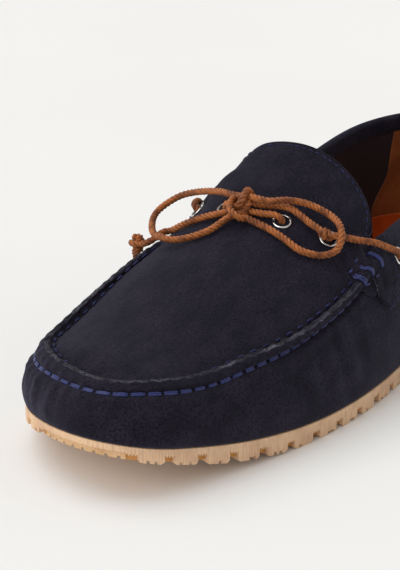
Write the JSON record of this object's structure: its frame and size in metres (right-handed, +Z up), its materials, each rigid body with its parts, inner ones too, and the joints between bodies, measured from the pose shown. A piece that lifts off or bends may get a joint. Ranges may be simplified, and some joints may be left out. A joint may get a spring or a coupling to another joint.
{
  "type": "loafer",
  "caption": "Left suede driving moccasin with a raised moc seam, a drawstring lace through collar eyelets tied in a bow, and a cleated rubber sole.",
  "frame": {"origin": "Centre of the shoe's box, without the free bow, on the floor that the sole stands on.", "axes": "+Z is up, +Y runs from toe to heel, +X is the outer (lateral) side of this left shoe."},
  "size_m": [0.1037, 0.2949, 0.0908],
  "materials": {
    "navy_suede": "napped navy suede",
    "gum_rubber": "matte pale gum rubber, moulded",
    "tan_leather": "smooth tan lining leather",
    "nickel": "bright nickel plate",
    "tan_lace": "three-strand twisted tan leather lace"
  },
  "bodies": {
    "root": {"outsole": "gum_rubber", "insole": "tan_leather", "upper": "navy_suede", "collar_band": "navy_suede", "tongue": "navy_suede", "eyelet_vamp_lateral_inner": "nickel", "eyelet_vamp_lateral_outer": "nickel", "eyelet_vamp_medial_inner": "nickel", "eyelet_vamp_medial_outer": "nickel", "eyelet_collar_lateral_1": "nickel", "eyelet_collar_lateral_2": "nickel", "eyelet_collar_lateral_3": "nickel", "eyelet_collar_lateral_4": "nickel", "eyelet_collar_lateral_5": "nickel", "eyelet_collar_medial_1": "nickel", "eyelet_collar_medial_2": "nickel", "eyelet_collar_medial_3": "nickel", "eyelet_collar_medial_4": "nickel", "eyelet_collar_medial_5": "nickel", "lace_bar_lateral_1": "tan_lace", "lace_bar_lateral_2": "tan_lace", "lace_bar_lateral_3": "tan_lace", "lace_bar_medial_1": "tan_lace", "lace_bar_medial_2": "tan_lace", "lace_bar_medial_3": "tan_lace", "bow_knot": "tan_lace", "bow_stub_lateral": "tan_lace", "bow_stub_medial": "tan_lace", "bow_loop_lateral": "tan_lace", "bow_loop_medial": "tan_lace", "bow_end_lateral": "tan_lace", "bow_end_medial": "tan_lace", "end_knot_lateral": "tan_lace", "end_knot_medial": "tan_lace"}
  },
  "joints": []
}
